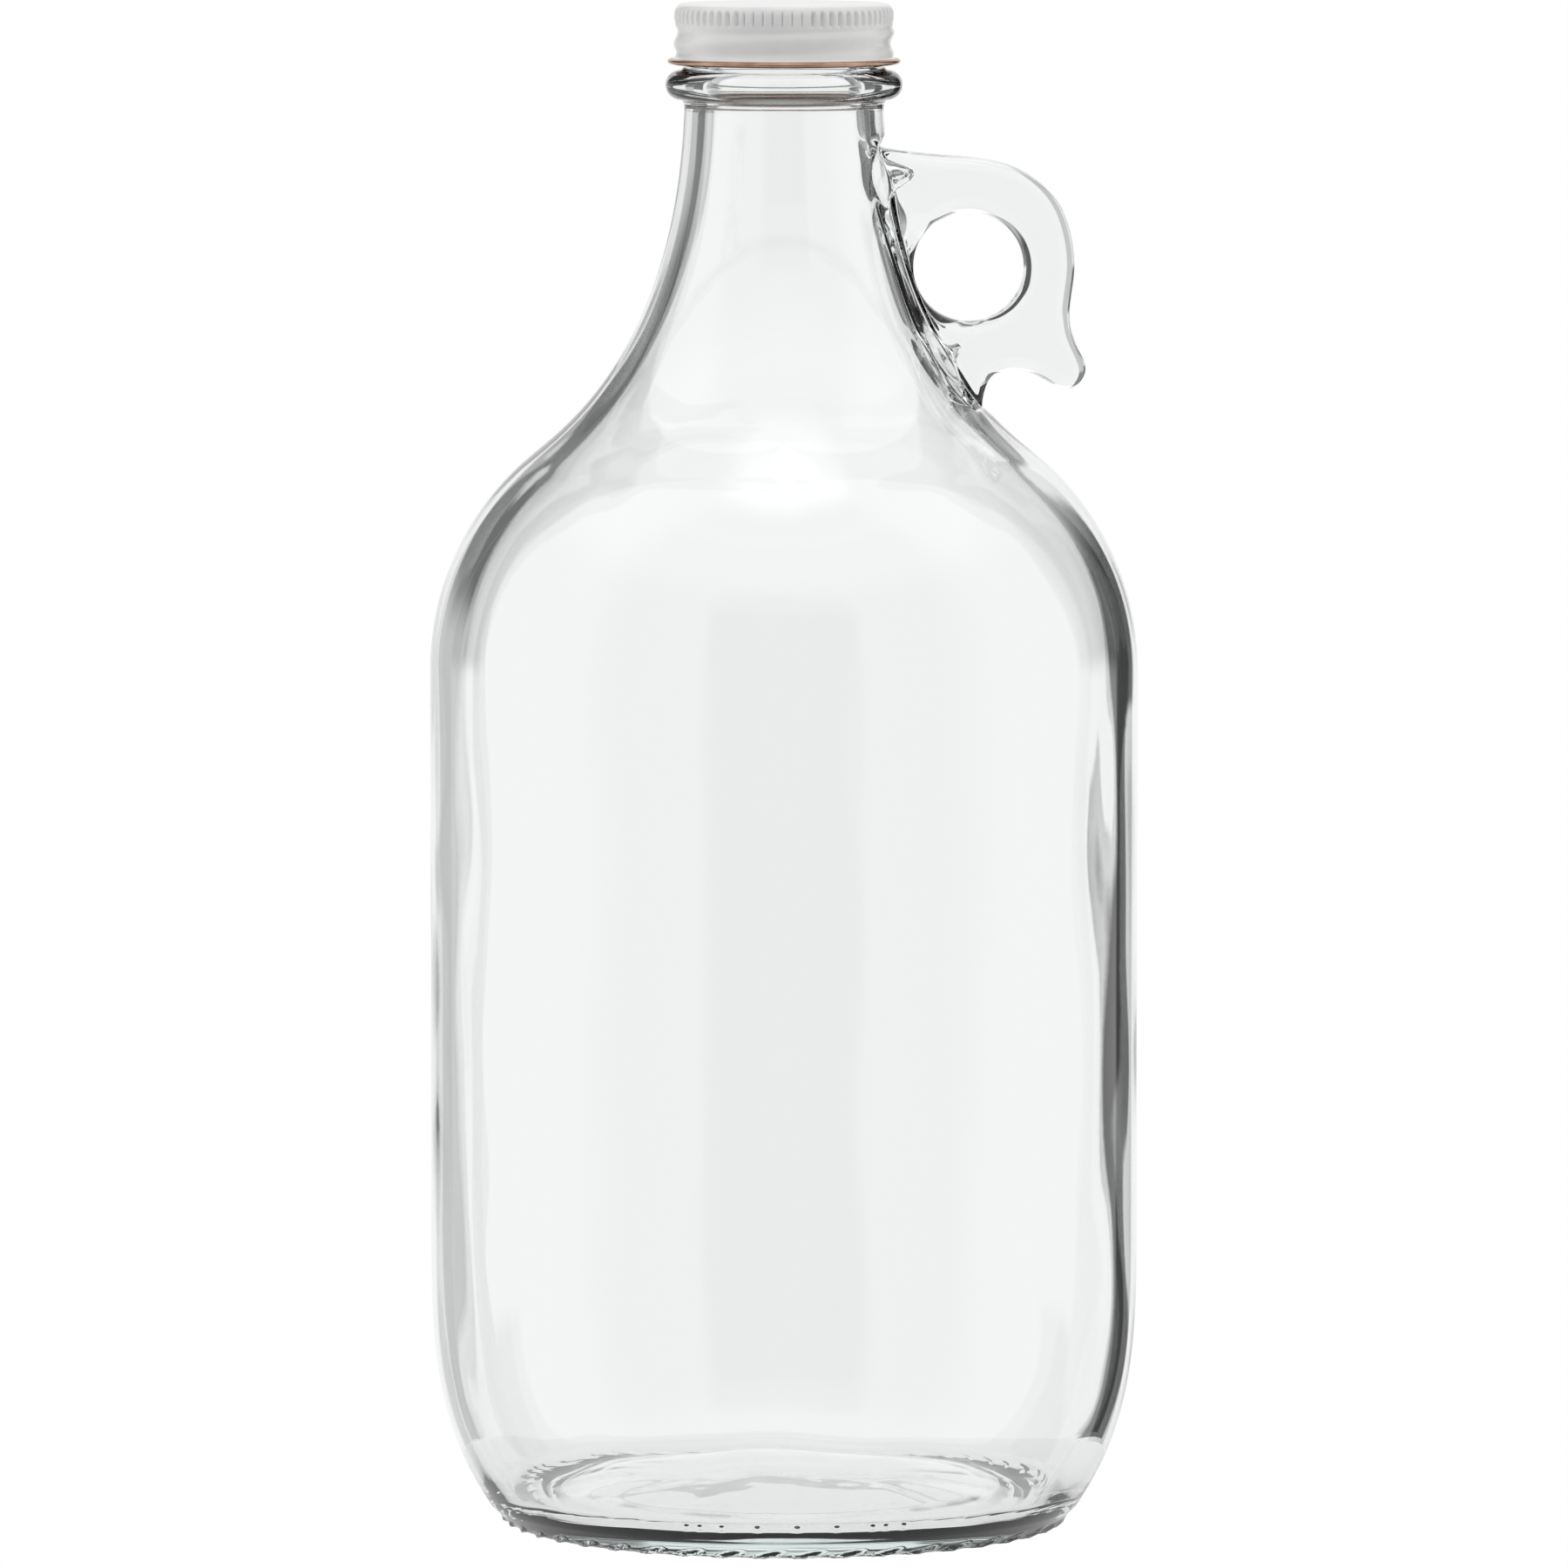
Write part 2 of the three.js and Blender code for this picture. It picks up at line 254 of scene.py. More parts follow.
jug.add("inner_neck", [(BORE_RADIUS, BEAD_TOP)]
        + neck_curve(NECK_RADIUS - NECK_WALL, shoulder_inner[0], NECK_TOP)[::-1], 24)
jug.add("inner_shoulder", shoulder_inner, 8)
jug.add("inner_body", [(inner_radius, STRAIGHT_TOP), (inner_radius, STRAIGHT_BOTTOM)], 9)
jug.add("inner_heel", sweep((inner_radius, STRAIGHT_BOTTOM), (inner_radius, 32.0),
                            (inner_radius - 0.9, 19.0), floor_corner), 10)
jug.add("floor", sweep(floor_corner, (floor_corner[0] - 2.0, floor_corner[1] - 1.9),
                       (floor_middle[0][0] + 4, floor_middle[0][1] - 1.4), floor_middle[0]), 4)
jug.add("floor_middle", floor_middle, 6)
jug.rows.append(jug.places[-1])
print(f"outline {jug.places[-1]:.0f} mm long with {len(jug.rows)} rows")

# %% [markdown]
# ## Spinning the cage
#
# bmesh's spin turns a chain of vertices round an axis. A full turn with use_merge closes it, and
# the vertices that start on the axis are merged into one pole afterwards. Each vertex is then
# told its place on the outline, and a hold of 1, which says that it belongs there exactly.


# %% Spin helpers
def spun_cage(outline, columns):
    """A bmesh of the outline turned round Z, in millimetres, with each vertex's place stored."""
    bm = bmesh.new()
    chain = [bm.verts.new((r, 0, z)) for r, z in map(outline.at, outline.rows)]
    edges = [bm.edges.new(pair) for pair in zip(chain, chain[1:])]
    bmesh.ops.spin(bm, geom=chain + edges, cent=(0, 0, 0), axis=(0, 0, 1), dvec=(0, 0, 0),
                   angle=math.tau, steps=columns, use_merge=True, use_duplicate=False)
    bmesh.ops.remove_doubles(bm, verts=bm.verts, dist=1e-4)
    place = bm.verts.layers.float.new("place")
    hold = bm.verts.layers.float.new("hold")
    known = {(round(r, 3), round(z, 3)): s
             for s in outline.rows for r, z in [outline.at(s)]}
    for vertex in bm.verts:
        key = (round(math.hypot(vertex.co.x, vertex.co.y), 3), round(vertex.co.z, 3))
        if key not in known:
            key = min(known, key=lambda k: math.dist(k, key))
        vertex[place] = known[key]
        vertex[hold] = 1.0
    bmesh.ops.recalc_face_normals(bm, faces=bm.faces)
    return bm


# %% [markdown]
# ## The finger ring
#
# The ring is a flat plate of glass with a round finger hole and a hooked tail, pressed with the
# neck. Its cage starts as the circle of the hole in the middle plane. Each extrusion of the edge
# makes the next loop: over the hole's rounded edge, across the flat face, over the outer edge and
# back to the middle plane. A mirror makes the other half. A subdivision surface runs a little
# inside its cage, so the cage's rings are first pushed out until the smooth curve goes through
# the wanted points. A boolean union with the neck would have been quicker, but it leaves a sharp
# seam where the real glass has a soft fillet.

# %% The ring's outline
RING_THICKNESS = 10.6
HOLE_RADIUS = 9.66
HOLE_DROP = 44.65
HOLE_WEB = 0.92
WEB_THINNING = 0.62
WEB_REACH = 13
RIM_FILLET = 2.6
RIM_EDGE = 0.7
# how thick the plate is where its round edge starts and half way over, as a share
EDGE_LOW, EDGE_HIGH = 0.45, 0.82
ROOT_REACH = 0.9
hole_height = lip_height - HOLE_DROP
hole_centre = (jug.radius_at_height(hole_height, "neck") + HOLE_WEB + HOLE_RADIUS, hole_height)


def web_share(height):
    """The plate thins towards the neck beside the hole: its half thickness there, as a share."""
    return 1 - WEB_THINNING * max(0.0, 1 - ((height - hole_height) / WEB_REACH) ** 2)


# (outwards, up) from the hole's middle: over the top, down the outside, round the tail, back in
free_outline = [
    (-6.2, 19.75), (-2.0, 19.45), (2.4, 19.0), (8.2, 17.5), (13.15, 14.35), (16.5, 10.25),
    (18.3, 4.85), (18.75, -0.3), (18.2, -5.0), (17.9, -9.2), (18.7, -12.7), (20.1, -15.75),
    (20.7, -18.6), (19.0, -21.1), (15.9, -21.3), (12.3, -19.3), (9.0, -18.4), (5.9, -18.6),
    (3.6, -20.2),
]


def root_outline():
    """Where the plate runs into the neck and shoulder, from the top of the joint downwards."""
    heights = [RING_TOP - 1.6] + ring_heights[-2:0:-1] + [RING_BOTTOM + 2.1]
    points = []
    for height in heights:
        half = RING_THICKNESS / 2 * web_share(height)
        skin = math.sqrt(jug.radius_at_height(height, "neck") ** 2 - half ** 2)
        reach = ROOT_REACH * web_share(height)
        points.append((skin + reach - hole_centre[0], height - hole_centre[1]))
    return points


def through(points):
    """Cage points whose closed smooth curve passes through the given ones."""
    cage = [Vector(p) for p in points]
    wanted = [Vector(p) for p in points]
    count = len(cage)
    for _ in range(30):
        smooth = [(cage[i - 1] + 4 * cage[i] + cage[(i + 1) % count]) / 6 for i in range(count)]
        cage = [c + (w - s) for c, w, s in zip(cage, wanted, smooth)]
    return cage


root_points = root_outline()
ring_outline = through(root_points + free_outline[::-1])
ROOT_COUNT = len(root_points)
RING_COUNT = len(ring_outline)
print(f"ring outline of {RING_COUNT} points, {ROOT_COUNT} of them on the neck")


# %% The ring's cage
ROOT_FROM, ROOT_TO = 122, 272


def hole_angle(index):
    """Direction of a hole point: half its neighbour's direction, half an even spacing."""
    point = ring_outline[index]
    direct = math.degrees(math.atan2(point.y, point.x)) % 360
    if index < ROOT_COUNT:
        even = ROOT_FROM + (ROOT_TO - ROOT_FROM) * index / (ROOT_COUNT - 1)
    else:
        part = index - ROOT_COUNT + 1
        even = ROOT_TO + (ROOT_FROM + 360 - ROOT_TO) * part / (RING_COUNT - ROOT_COUNT + 1)
        direct = direct + 360 if direct < 200 else direct
    return math.radians((even + direct) / 2)


def ring_loops():
    """Closed loops of (x, z, depth): the hole, its rounded edge, the flat face, the outer edge."""
    hole = through([(HOLE_RADIUS * math.cos(hole_angle(i)), HOLE_RADIUS * math.sin(hole_angle(i)))
                    for i in range(RING_COUNT)])
    rows = []
    for i in range(RING_COUNT):
        span = ring_outline[i] - hole[i]
        along = ring_outline[(i + 1) % RING_COUNT] - ring_outline[i - 1]
        inward = Vector((-along.y, along.x)).normalized()
        at_root = i < ROOT_COUNT
        if at_root:  # across the narrow web the two faces are too close for a square inset
            inward = -span.normalized()
        room = min(RIM_FILLET, 0.36 * span.length)
        edge = min(RIM_EDGE, 0.14 * span.length)
        out = hole[i].normalized()
        thick = web_share(hole_height + ring_outline[i].y) if at_root else 1
        rows.append((
            (hole[i], 0), (hole[i], EDGE_LOW * thick), (hole[i] + out * edge, EDGE_HIGH * thick),
            (hole[i] + out * room, thick), (ring_outline[i] + inward * room, thick),
            (ring_outline[i] + inward * (0 if at_root else edge), EDGE_HIGH * thick),
            (ring_outline[i], EDGE_LOW), (ring_outline[i], 0)))
    return [list(loop) for loop in zip(*rows)]


loops = ring_loops()
OPEN_LEVEL = 6
print(len(loops), "loops; those from number", OPEN_LEVEL, "on are open along the neck")


def extruded(bm, verts, closed):
    """Extrudes a chain of vertices' edges, and gives the new vertices in the same order."""
    ahead = verts[1:] + verts[:1] if closed else verts[1:]
    edges = [bm.edges.get(pair) for pair in zip(verts, ahead)]
    made = bmesh.ops.extrude_edge_only(bm, edges=edges)["geom"]
    new = {v for v in made if isinstance(v, bmesh.types.BMVert)}
    return [next(e.other_vert(v) for e in v.link_edges if e.other_vert(v) in new) for v in verts]


def add_ring(bm):
    """Adds the finger ring's cage to bm, left open along the neck."""
    half = RING_THICKNESS / 2
    chain = bmesh.ops.create_circle(bm, segments=RING_COUNT, radius=1)["verts"]
    chain = sorted(chain, key=lambda v: math.atan2(v.co.y, v.co.x) % math.tau)
    everything = []
    for level, loop in enumerate(loops):
        closed = level < OPEN_LEVEL
        if level == OPEN_LEVEL:
            chain = chain[ROOT_COUNT - 1:] + chain[:1]
        if not closed:
            loop = loop[ROOT_COUNT - 1:] + loop[:1]
        if level:
            chain = extruded(bm, chain, closed)
        for vertex, (point, depth) in zip(chain, loop):
            vertex.co = (hole_centre[0] + point.x, -half * depth, hole_centre[1] + point.y)
        everything.append(chain)
    verts = {v for chain in everything for v in chain}
    edges = {e for v in verts for e in v.link_edges}
    faces = {f for v in verts for f in v.link_faces}
    bmesh.ops.mirror(bm, geom=[*verts, *edges, *faces], axis="Y", merge_dist=1e-3)


# %% [markdown]
# ## The jug's cage
#
# The outline is spun in 32 columns. Where the ring joins, the columns next to it are slid round
# until they stand just outside the plate, and the faces between them are removed. That leaves a
# hole with as many edges as the open side of the plate, and bridge_loops joins the two. The
# vertices round that joint get a hold of 0: they keep the soft fillet that the subdivision gives,
# and every other vertex is put back on the true outline.

# %% The jug's cage
COLUMNS = 32
FRAME_GAP = 1.1
FADE_LENGTH = 9
LAST_SLID = 4
window = [jug.place_of_height(h, *jug.marks["neck"]) for h in (RING_BOTTOM, RING_TOP)]


def root_half(height):
    """Half the width of the opening in the neck at a height."""
    return RING_THICKNESS / 2 * web_share(height) + FRAME_GAP


def in_window(value, margin=0.05):
    """Whether a place on the outline is between the top and bottom of the ring's joint."""
    return window[0] - margin <= value <= window[1] + margin


def slide_columns(bm):
    """Moves the columns beside the finger ring so that they frame its plate."""
    place = bm.verts.layers.float["place"]
    step = math.tau / COLUMNS
    for vertex in bm.verts:
        reach = min(abs(vertex[place] - w) for w in window)
        share = 1.0 if in_window(vertex[place]) else max(0.0, 1 - reach / FADE_LENGTH)
        angle = math.atan2(vertex.co.y, vertex.co.x)
        column = round(abs(angle) / step)
        if share == 0 or not 1 <= column <= LAST_SLID:
            continue
        radius = math.hypot(vertex.co.x, vertex.co.y)
        edge = math.asin(root_half(vertex.co.z) / radius)
        beyond = (column - 2) / (LAST_SLID - 1) * ((LAST_SLID + 1) * step - edge)
        framed = edge / 2 if column == 1 else edge + beyond
        turned = math.copysign(abs(angle) + share * (framed - abs(angle)), angle)
        vertex.co.x = radius * math.cos(turned)
        vertex.co.y = radius * math.sin(turned)


def open_window(bm):
    """Removes the neck's faces behind the plate, and lets go of the vertices round the opening."""
    place = bm.verts.layers.float["place"]
    hold = bm.verts.layers.float["hold"]
    doomed = []
    for face in bm.faces:
        centre = face.calc_center_median()
        beside = centre.x > 0 and abs(centre.y) < root_half(centre.z)
        if beside and all(in_window(v[place]) for v in face.verts):
            doomed.append(face)
    for face in doomed:
        for vertex in face.verts:
            vertex[hold] = 0.0
    bmesh.ops.delete(bm, geom=doomed, context="FACES")
    print(f"opened {len(doomed)} faces for the ring")


cage = spun_cage(jug, COLUMNS)
slide_columns(cage)
open_window(cage)
add_ring(cage)
open_edges = [e for e in cage.edges if len(e.link_faces) == 1]
print(f"{len(open_edges)} open edges to bridge")
bmesh.ops.bridge_loops(cage, edges=open_edges)
bmesh.ops.recalc_face_normals(cage, faces=cage.faces)
print("cage closed:", all(len(e.link_faces) == 2 for e in cage.edges), len(cage.faces), "faces")

# %% [markdown]
# ## From the cage to smooth glass
#
# The subdivision surface is applied, so that the details that only a fine mesh can hold come
# after it. Each vertex is then put on the outline at the place that it carries, plus whatever
# stands out there: the screw thread, the stippled marks that keep the jug from sliding and the
# mould's row of dots.


# %% Mesh helpers
def new_object(name, bm):
    """Makes an object from a bmesh in millimetres, smooth shaded, in metres."""
    bmesh.ops.scale(bm, vec=(METRES_PER_MM,) * 3, verts=bm.verts)
    for face in bm.faces:
        face.smooth = True
    mesh = bpy.data.meshes.new(name)
    bm.to_mesh(mesh)
    bm.free()
    made = bpy.data.objects.new(name, mesh)
    bpy.context.scene.collection.objects.link(made)
    return made


def subdivided(bm, levels):
    """The bmesh that a subdivision surface makes of this one."""
    mesh = bpy.data.meshes.new("cage")
    bm.to_mesh(mesh)
    bm.free()
    holder = bpy.data.objects.new("cage", mesh)
    bpy.context.scene.collection.objects.link(holder)
    modifier = holder.modifiers.new("smooth", "SUBSURF")
    modifier.levels = modifier.render_levels = levels
    smooth = bmesh.new()
    smooth.from_object(holder, bpy.context.evaluated_depsgraph_get())
    bpy.data.objects.remove(holder)
    bpy.data.meshes.remove(mesh)
    return smooth


def eased(value, low, high):
    """0 below low, 1 above high, and smooth between."""
    t = min(max((value - low) / (high - low), 0.0), 1.0)
    return t * t * (3 - 2 * t)


# %% What stands out of the outline
THREAD_PITCH = 25.4 / 6
THREAD_HEIGHT = 1.15
THREAD_START = 2.53
THREAD_END = 2.7
THREAD_BASE = BEAD_TOP + THREAD_START
THREAD_TURNS = (FINISH_HEIGHT - THREAD_END - THREAD_START) / THREAD_PITCH
STIPPLES = 44
STIPPLE_LENGTH = 6.6
STIPPLE_RISE = 3.2
STIPPLE_HEIGHT = 0.5
DOT_HEIGHT = 0.32
DOTS_ACROSS = (-16.9, -14.6, -10.8, -4.6, 2.3, 9.2, 15.4, 17.7, 20.8)
DOTS_PLACE = jug.marks["heel"][0] + 3.0


def thread_height(angle, height):
    """How far the glass thread stands out: one right-hand turn and a little more."""
    turn = (angle % math.tau) / math.tau
    best = 0.0
    for whole in (0, 1):
        along = turn + whole
        if along > THREAD_TURNS:
            continue
        off = abs(height - THREAD_BASE - along * THREAD_PITCH)
        fade = eased(min(along, THREAD_TURNS - along), 0, 0.08)
        best = max(best, THREAD_HEIGHT * fade * (1 - eased(off, 0.35, 1.45)))
    return best


def stipple_height(angle, place):
    """Slanted crescents pressed round the edge of the base."""
    start = jug.marks["bearing"][1] - 0.6
    spacing = math.tau * BEARING_OUT / STIPPLES
    across = (angle / math.tau * STIPPLES) % 1 * spacing
    best = 0.0
    for shift in (-spacing, 0, spacing):
        part = (across + shift) / STIPPLE_LENGTH
        if not -0.1 <= part <= 1.1:
            continue
        middle = start + STIPPLE_RISE * part + 0.5 * math.sin(part * math.pi)
        off = abs(place - middle)
        ends = eased(part, -0.1, 0.12) * (1 - eased(part, 0.88, 1.1))
        best = max(best, STIPPLE_HEIGHT * ends * (1 - eased(off, 0.1, 0.85)))
    return best


def dot_height(angle, place, radius):
    """The mould's row of plain dots, low on the front."""
    across = radius * math.sin(angle + math.pi / 2)
    nearest = min(math.hypot(across - x, place - DOTS_PLACE) for x in DOTS_ACROSS)
    return DOT_HEIGHT * (1 - eased(nearest, 0.25, 0.95))


def stands_out(angle, place, height, radius):
    """How far the outside stands out of the outline, whatever the detail there is."""
    if jug.marks["finish"][0] < place < jug.marks["finish"][1]:
        return thread_height(angle, height)
    if jug.marks["bearing"][0] < place < jug.marks["corner"][1]:
        return stipple_height(angle, place)
    if abs(place - DOTS_PLACE) < 2 and math.sin(angle) < 0:
        return dot_height(angle, place, radius)
    return 0.0


# %% [markdown]
# The inside was blown, not pressed, so its surface wanders by a few tenths of a millimetre. That
# unevenness is what makes the dark lines down the sides of a real jug waver. It is a slow noise,
# longer up and down than round, and is added to the inner skin only. Behind the two ends of the
# finger ring the air has pushed a pocket out into the thick glass. The pockets are narrower than
# the plate, so about 2 mm of glass is left round them.

# %% The blown inside
WANDER = 0.28
# height, depth, half height and half width of each pocket
POCKETS = ((237.8, 8.0, 3.3, 2.7), (205.2, 6.5, 3.6, 2.8))


def inner_wander(angle, radius, height):
    """How far the blown inside lies out of its even shape."""
    around = Vector((math.cos(angle), math.sin(angle), 0)) * 1.6
    slow = noise.noise(around + Vector((0, 0, height / 70)))
    quick = noise.noise(around * 3.1 + Vector((7, 3, height / 27)))
    amount = WANDER * (slow + 0.75 * quick)
    amount *= eased(radius, 20, 52) if height < 15 else 0.2 + 0.8 * eased(radius, 12, 40)
    side = radius * math.sin(angle)
    if math.cos(angle) > 0:
        for middle, depth, tall, wide in POCKETS:
            near = ((height - middle) / tall) ** 2 + (side / wide) ** 2
            amount += depth * math.exp(-near)
    return amount


# %% [markdown]
# Two levels are fine enough for the plain walls. The base and the row of dots need closer
# vertices, so only their edges are divided again: cutting just the edges that run round keeps the
# face count low. New vertices take their place on the outline from their neighbours, so this is
# done before any vertex is moved.

# %% The finer mesh
BASE_CUTS = 4
DOT_CUTS = 5
glass = subdivided(cage, 2)
place_layer = glass.verts.layers.float["place"]
hold_layer = glass.verts.layers.float["hold"]
band = (jug.marks["bearing"][0], jug.marks["corner"][1])
round_edges = []
for edge in glass.edges:
    ends = [v[place_layer] for v in edge.verts]
    level = abs(edge.verts[0].co.z - edge.verts[1].co.z) < 1e-3
    if level and all(band[0] - 0.05 <= value <= band[1] + 0.05 for value in ends):
        if min(v[hold_layer] for v in edge.verts) > 0.99 and abs(ends[0] - ends[1]) < 0.02:
            round_edges.append(edge)
bmesh.ops.subdivide_edges(glass, edges=round_edges, cuts=BASE_CUTS, use_grid_fill=True)
dotted = set()
for face in glass.faces:
    middle = sum(v[place_layer] for v in face.verts) / len(face.verts)
    centre = face.calc_center_median()
    if abs(middle - DOTS_PLACE) < 2.2 and centre.y < 0 and abs(centre.x) < 24:
        dotted.update(face.edges)
bmesh.ops.subdivide_edges(glass, edges=list(dotted), cuts=DOT_CUTS, use_grid_fill=True)
print(f"{len(round_edges)} edges of the base and {len(dotted)} of the dots divided")

# %% The smooth jug
FULL_HOLD = 0.45  # with this much hold a vertex is put wholly on the outline
inner_start = jug.marks["rim_in"][0]
for vertex in glass.verts:
    keep = eased(vertex[hold_layer], 0, FULL_HOLD)
    if keep == 0:
        continue
    place = vertex[place_layer]
    radius, height = jug.at(place)
    angle = math.atan2(vertex.co.y, vertex.co.x)
    out = jug.outward(place)
    push = stands_out(angle, place, height, radius)
    if place > inner_start:
        fade = eased(place, inner_start + 4, inner_start + 22)
        push = -inner_wander(angle, radius, height) * fade
    radius += out[0] * push
    height = max(height + out[1] * push, 0.0)
    target = Vector((radius * math.cos(angle), radius * math.sin(angle), height))
    vertex.co = vertex.co.lerp(target, keep)
closed = all(len(e.link_faces) == 2 for e in glass.edges)
print(f"jug: {len(glass.verts)} vertices, closed {closed}")
jug_piece = new_object("jug_glass", glass)

# %% [markdown]
# ## The cap
#
# A real cap is stamped from tinplate a third of a millimetre thick: drawn into a cup, knurled,
# curled outwards at the edge and then rolled onto a thread, so every shape shows on both sides of
# the sheet. One closed outline goes down the outside, round the curl and up the inside, and the
# knurls and the thread move both skins of the sheet together.

# %% The cap's outline
SHEET = 0.35
CAP_RADIUS = 19.1
TOP_ROUND = 1.3
KNURL_TOP = cap_top - 1.05
KNURL_BOTTOM = cap_top - 3.85
CURL_MIDDLE = (CAP_RADIUS + 0.5, BEAD_TOP + 1.55)
CURL_WIDE = 0.9
CURL_TALL = 0.52
inside_radius = CAP_RADIUS - SHEET

curl_round = [
    (CURL_MIDDLE[0] + CURL_WIDE * math.cos(a), CURL_MIDDLE[1] + CURL_TALL * math.sin(a))
    for a in (math.radians(90 - 3 * i) for i in range(91))
]
corner_middle = (CAP_RADIUS - TOP_ROUND, cap_top - TOP_ROUND)

cap = Outline()
cap.add("top", [(0, cap_top), (corner_middle[0], cap_top)], 7)
cap.add("top_round", arc(corner_middle, TOP_ROUND, 90, 0), 5)
cap.add("knurls", [(CAP_RADIUS, corner_middle[1]), (CAP_RADIUS, KNURL_BOTTOM)], 8)
cap.add("skirt", sweep((CAP_RADIUS, KNURL_BOTTOM), (CAP_RADIUS - 0.35, KNURL_BOTTOM - 0.3),
                       (CAP_RADIUS, KNURL_BOTTOM - 0.4), (CAP_RADIUS - 0.05, KNURL_BOTTOM - 0.8))
        + sweep((CAP_RADIUS - 0.05, KNURL_BOTTOM - 0.9), (CAP_RADIUS - 0.05, CURL_MIDDLE[1] + 1.1),
                (CAP_RADIUS - 0.05, CURL_MIDDLE[1] + CURL_TALL), curl_round[0]), 14)
cap.add("curl", curl_round, 12)
cap.add("inside_skirt",
        [curl_round[-1], (inside_radius - 0.05, CURL_MIDDLE[1] + 1),
         (inside_radius - 0.05, KNURL_BOTTOM - 0.8), (inside_radius, KNURL_BOTTOM)], 12)
cap.add("inside_knurls", [(inside_radius, KNURL_BOTTOM), (inside_radius, corner_middle[1])], 6)
cap.add("inside_round", arc(corner_middle, TOP_ROUND - SHEET, 0, 90), 3)
cap.add("inside_top", [(corner_middle[0], cap_top - SHEET), (0, cap_top - SHEET)], 4)
cap.rows.append(cap.places[-1])
print(f"cap outline {cap.places[-1]:.0f} mm long with {len(cap.rows)} rows")

# %% [markdown]
# The cap is spun with twelve columns to each of its 70 knurls. A knurl is a flat-topped rib with
# a narrow groove on either side, which a wave through tanh gives. The wheel went over one stretch
# of it twice, a little out of step, as it often does at the end of its turn.

# %% The knurls, the rolled thread and the spun cap
CAP_COLUMNS = 840
KNURLS = 70
KNURL_DEPTH = 0.46
ROLL_DEPTH = 0.34


def knurl(angle, height):
    """A row of upright ribs, run over twice for a short way, as a knurling wheel leaves them."""
    wave = math.tanh(2.0 * math.cos(KNURLS * angle) + 0.8)
    front = math.degrees(angle) % 360 - 270  # degrees from the front
    twice = eased(front, -24, -20) * (1 - eased(front, 11, 15))
    second = max(wave, math.tanh(2.0 * math.cos(KNURLS * angle + 2.2) + 0.4))
    wave = wave * (1 - twice) + twice * second
    ends = 0.25 * (1 + math.cos(KNURLS * angle))
    tall = eased(height, KNURL_BOTTOM + 0.1 + ends, KNURL_BOTTOM + 0.7 + ends)
    fades = 1 - eased(height, KNURL_TOP - 0.5, KNURL_TOP + 0.1)
    return KNURL_DEPTH * (wave - 0.6) * tall * fades


def rolled(angle, height):
    """The thread rolled into the skirt: it stands out over the glass thread."""
    turn = (angle % math.tau) / math.tau
    wave = math.cos(math.tau * ((height - THREAD_BASE) / THREAD_PITCH - turn))
    curl_top = CURL_MIDDLE[1] + CURL_TALL
    low = eased(height, curl_top + 0.1, curl_top + 1.3)
    return ROLL_DEPTH * wave * low * (1 - eased(height, KNURL_BOTTOM - 0.9, KNURL_BOTTOM - 0.1))


shell = spun_cage(cap, CAP_COLUMNS)
place_layer = shell.verts.layers.float["place"]
sides = (cap.marks["top_round"][0], cap.marks["inside_round"][1])
for vertex in shell.verts:
    if sides[0] < vertex[place_layer] < sides[1]:
        angle = math.atan2(vertex.co.y, vertex.co.x)
        push = knurl(angle, vertex.co.z) + rolled(angle, vertex.co.z)
        radius = vertex.co.xy.length
        vertex.co.xy *= (radius + push) / radius
for face in shell.faces:
    middle = sum(v[place_layer] for v in face.verts) / len(face.verts)
    face.material_index = int(middle > cap.marks["skirt"][1])
closed = all(len(e.link_faces) == 2 for e in shell.edges)
print(f"cap: {len(shell.faces)} faces, closed {closed}")
cap_piece = new_object("cap_tinplate", shell)

# %% [markdown]
# ## The liner
#
# A disc of pulp board with a thin white film on its underside, punched and pressed into the cap.
# The film sags a little inside the rim, where nothing holds it. Both are plain spun outlines.


# %% The liner's discs
def disc(name, node, sag=0.0, edge=0.08):
    """A disc the size of a frame node, whose middle may sag."""
    low, high = node_box_mm(node)
    radius, bottom, top = high[0], low[2], high[2]
    sagged = bottom - sag
    outline = Outline()
    outline.add("under", sweep((0, sagged), (9, sagged), (BORE_RADIUS - 2.5, sagged),
                               (BORE_RADIUS - 0.6, bottom)) + [(radius - edge, bottom)], 14)
    outline.add("low_edge", arc((radius - edge, bottom + edge), edge, -90, 0), 3)
    outline.add("side", [(radius, bottom + edge), (radius, top - edge)], 1)
    outline.add("high_edge", arc((radius - edge, top - edge), edge, 0, 90), 3)
    outline.add("over", [(radius - edge, top), (0, top)], 4)
    outline.rows.append(outline.places[-1])
    print(f"{name}: radius {radius:.2f}, {top - bottom:.2f} mm thick")
    return new_object(name, spun_cage(outline, 128))


film_piece = disc("liner_film", "liner_facing", sag=0.12)
board_piece = disc("liner_pulp_board", "liner_board")

# %% [markdown]
# ## Materials
#
# Colours are written as the sRGB hex values that a painter would match, and turned into the linear
# values that Cycles works with.


# %% Material helpers
def colour(hex_value):
    """Linear RGBA from an sRGB hex string."""
    parts = [int(hex_value[i:i + 2], 16) / 255 for i in (1, 3, 5)]
    linear = [c / 12.92 if c <= 0.04045 else ((c + 0.055) / 1.055) ** 2.4 for c in parts]
    return (*linear, 1.0)


def add_node(tree, kind, settings, feeds=None):
    """Adds a node with its settings, and links its first output to the input that it feeds.

    settings holds properties by name, and inputs by name or number. An input is given a value, or
    the output of another node."""
    node = tree.nodes.new(kind)
    for name, value in settings.items():
        if isinstance(value, bpy.types.NodeSocket):
            tree.links.new(value, node.inputs[name])
        elif isinstance(name, str) and hasattr(node, name):
            setattr(node, name, value)
        else:
            node.inputs[name].default_value = value
    if feeds:
        tree.links.new(node.outputs[0], feeds)
    return node


